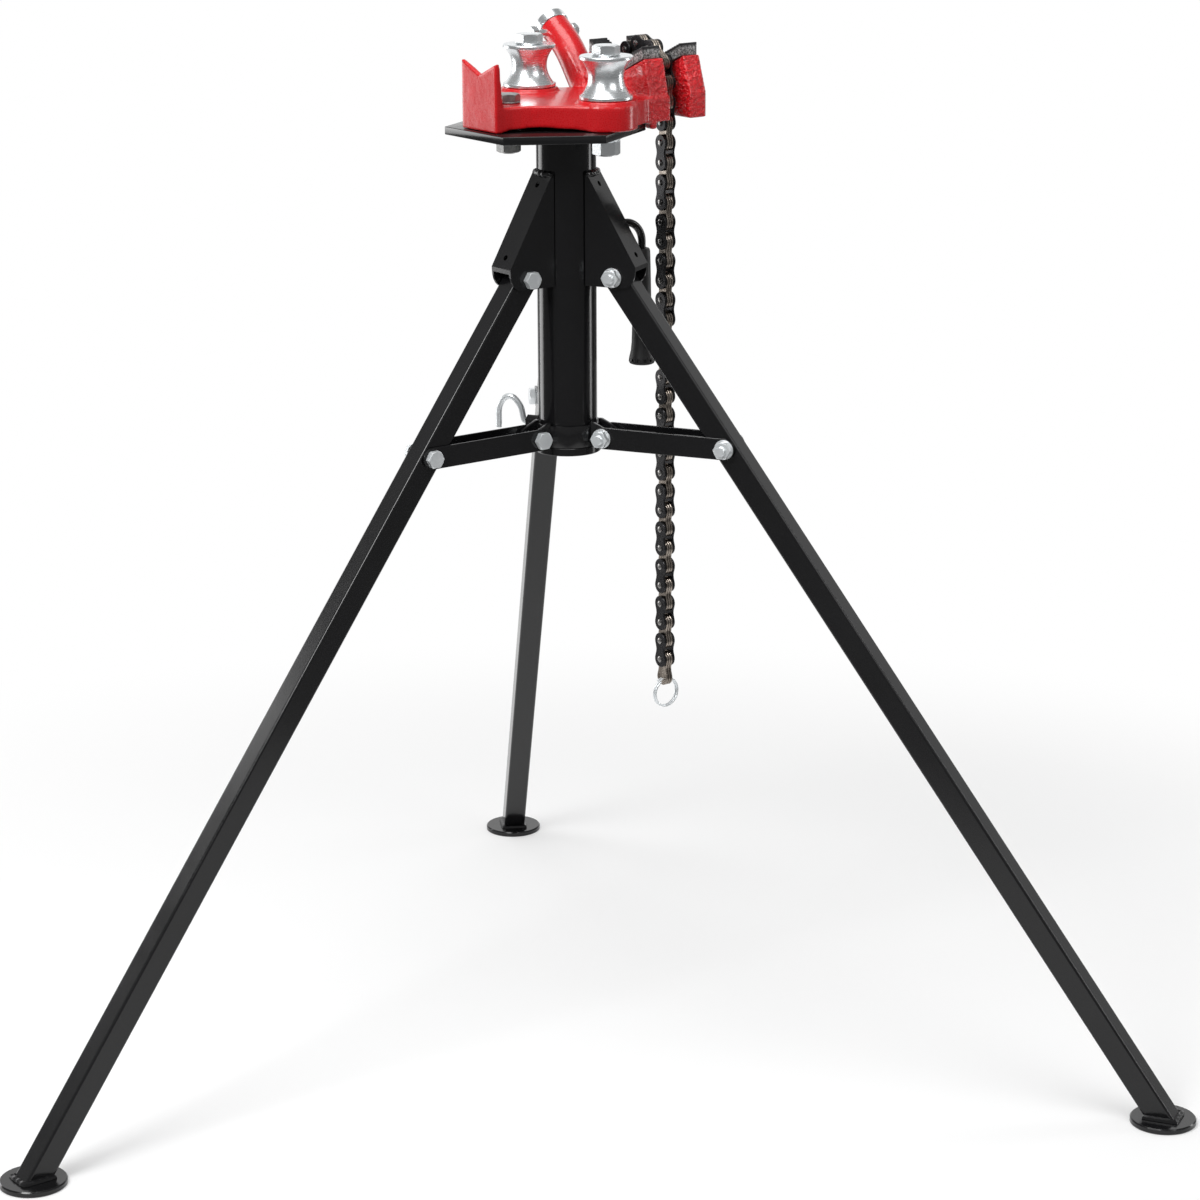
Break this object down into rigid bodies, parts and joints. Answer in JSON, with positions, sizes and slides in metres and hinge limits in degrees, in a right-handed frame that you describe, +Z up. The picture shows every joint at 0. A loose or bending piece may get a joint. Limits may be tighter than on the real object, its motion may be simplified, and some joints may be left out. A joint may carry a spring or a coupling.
{
  "type": "tripod pipe vise stand",
  "caption": "Folding three-legged stand with a chain pipe vise, V rest, bending rollers, sliding collar with braces and a carrying handle.",
  "frame": {"origin": "on the floor, at the centre of the bounding box of the opened stand", "axes": "+X along the pipe from the V rest to the jaws, +Y to the left of it, +Z up"},
  "size_m": [1.0306, 1.1798, 1.0633],
  "materials": {
    "black_steel": "glossy powder coat",
    "red_casting": "glossy paint over rough cast iron",
    "zinc": "bright zinc plate",
    "dark_bolt": "zinc plate",
    "chain_steel": "blued steel, oiled",
    "jaw_steel": "blackened tool steel",
    "rubber_grip": "matt moulded rubber"
  },
  "bodies": {
    "frame": {"column_tube": "black_steel", "top_plate": "black_steel", "hood_a": "black_steel", "hood_b": "black_steel", "hood_c": "black_steel", "leg_bolt_a": "zinc", "leg_bolt_b": "zinc", "leg_bolt_c": "zinc", "carry_handle": "black_steel", "handle_grip": "rubber_grip", "vise_body": "red_casting", "jaw_front": "jaw_steel", "jaw_rear": "jaw_steel", "roller_bolt_near": "zinc", "roller_bolt_far": "zinc", "rest_bolt": "dark_bolt", "socket_sleeve": "zinc", "chain_anchor_pin": "zinc", "chain_01": "chain_steel", "chain_02": "chain_steel", "chain_03": "chain_steel"},
    "leg_a_body": {"leg_a": "black_steel", "foot_a": "black_steel"},
    "leg_b_body": {"leg_b": "black_steel", "foot_b": "black_steel"},
    "leg_c_body": {"leg_c": "black_steel", "foot_c": "black_steel"},
    "collar_body": {"collar": "black_steel", "collar_bolt_a": "zinc", "collar_bolt_b": "zinc", "collar_bolt_c": "zinc"},
    "brace_a_body": {"brace_a": "black_steel", "brace_bolt_head_a": "zinc", "brace_bolt_nut_a": "zinc"},
    "brace_b_body": {"brace_b": "black_steel", "brace_bolt_head_b": "zinc", "brace_bolt_nut_b": "zinc"},
    "brace_c_body": {"brace_c": "black_steel", "brace_bolt_head_c": "zinc", "brace_bolt_nut_c": "zinc"},
    "clamp_body": {"clamp_screw": "zinc"},
    "roller_near_body": {"roller_near": "zinc"},
    "roller_far_body": {"roller_far": "zinc"},
    "socket_bolt_body": {"socket_bolt": "zinc"},
    "chain_run_1": {"chain_04": "chain_steel", "chain_05": "chain_steel", "chain_06": "chain_steel"},
    "chain_run_2": {"chain_07": "chain_steel", "chain_08": "chain_steel", "chain_09": "chain_steel"},
    "chain_run_3": {"chain_10": "chain_steel", "chain_11": "chain_steel", "chain_12": "chain_steel"},
    "chain_run_4": {"chain_13": "chain_steel", "chain_14": "chain_steel", "chain_15": "chain_steel"},
    "chain_run_5": {"chain_16": "chain_steel", "chain_17": "chain_steel", "chain_18": "chain_steel"},
    "ring_body": {"split_ring": "zinc"}
  },
  "joints": [
    {"name": "leg_a_fold", "type": "hinge", "parent": "frame", "child": "leg_a_body", "pos_m": [0.10475, 0, 0.815], "axis": [0, -1, 0], "range_deg": [0, 27]},
    {"name": "leg_b_fold", "type": "hinge", "parent": "frame", "child": "leg_b_body", "pos_m": [0.18875, -0.0485, 0.815], "axis": [0.866, 0.5, 0], "range_deg": [0, 27]},
    {"name": "leg_c_fold", "type": "hinge", "parent": "frame", "child": "leg_c_body", "pos_m": [0.18875, 0.0485, 0.815], "axis": [-0.866, 0.5, 0], "range_deg": [0, 27]},
    {"name": "collar_slide", "type": "slide", "parent": "frame", "child": "collar_body", "axis": [0, 0, 1], "range_m": [0, 0.08822]},
    {"name": "brace_a_fold", "type": "hinge", "parent": "collar_body", "child": "brace_a_body", "pos_m": [0.11725, 0, 0.65], "axis": [0, -1, 0], "range_deg": [0, 70.44]},
    {"name": "brace_b_fold", "type": "hinge", "parent": "collar_body", "child": "brace_b_body", "pos_m": [0.1825, -0.03767, 0.65], "axis": [0.866, 0.5, 0], "range_deg": [0, 70.44]},
    {"name": "brace_c_fold", "type": "hinge", "parent": "collar_body", "child": "brace_c_body", "pos_m": [0.1825, 0.03767, 0.65], "axis": [-0.866, 0.5, 0], "range_deg": [0, 70.44]},
    {"name": "clamp_turn", "type": "hinge", "parent": "collar_body", "child": "clamp_body", "pos_m": [0.14075, 0.03464, 0.657], "axis": [-0.5, 0.866, 0], "continuous": true},
    {"name": "roller_near_spin", "type": "hinge", "parent": "frame", "child": "roller_near_body", "pos_m": [0.16275, -0.064, 1.01], "axis": [0, 0, 1], "continuous": true},
    {"name": "roller_far_spin", "type": "hinge", "parent": "frame", "child": "roller_far_body", "pos_m": [0.16275, 0.064, 1.01], "axis": [0, 0, 1], "continuous": true},
    {"name": "socket_bolt_turn", "type": "hinge", "parent": "frame", "child": "socket_bolt_body", "pos_m": [0.23075, 0.10833, 1.04006], "axis": [1, 0, 0], "continuous": true},
    {"name": "chain_pin_1", "type": "hinge", "parent": "frame", "child": "chain_run_1", "pos_m": [0.25975, -0.034, 1], "axis": [1, 0, 0], "range_deg": [-6, 1]},
    {"name": "chain_pin_2", "type": "hinge", "parent": "chain_run_1", "child": "chain_run_2", "pos_m": [0.25975, -0.034, 0.88], "axis": [1, 0, 0], "range_deg": [-6, 1]},
    {"name": "chain_pin_3", "type": "hinge", "parent": "chain_run_2", "child": "chain_run_3", "pos_m": [0.25975, -0.034, 0.76], "axis": [1, 0, 0], "range_deg": [-6, 1.5]},
    {"name": "chain_pin_4", "type": "hinge", "parent": "chain_run_3", "child": "chain_run_4", "pos_m": [0.25975, -0.034, 0.64], "axis": [1, 0, 0], "range_deg": [-6, 6]},
    {"name": "chain_pin_5", "type": "hinge", "parent": "chain_run_4", "child": "chain_run_5", "pos_m": [0.25975, -0.034, 0.52], "axis": [1, 0, 0], "range_deg": [-6, 6]},
    {"name": "ring_swing", "type": "hinge", "parent": "chain_run_5", "child": "ring_body", "pos_m": [0.25975, -0.034, 0.38], "axis": [1, 0, 0], "range_deg": [-20, 20]}
  ],
  "couplings": [
    {"joint": "leg_b_fold", "follows": "leg_a_fold", "ratio": 1},
    {"joint": "leg_c_fold", "follows": "leg_a_fold", "ratio": 1},
    {"joint": "collar_slide", "follows": "leg_a_fold", "m_per_rad": 0.18721},
    {"joint": "brace_a_fold", "follows": "leg_a_fold", "ratio": 2.6089},
    {"joint": "brace_b_fold", "follows": "leg_a_fold", "ratio": 2.6089},
    {"joint": "brace_c_fold", "follows": "leg_a_fold", "ratio": 2.6089}
  ]
}
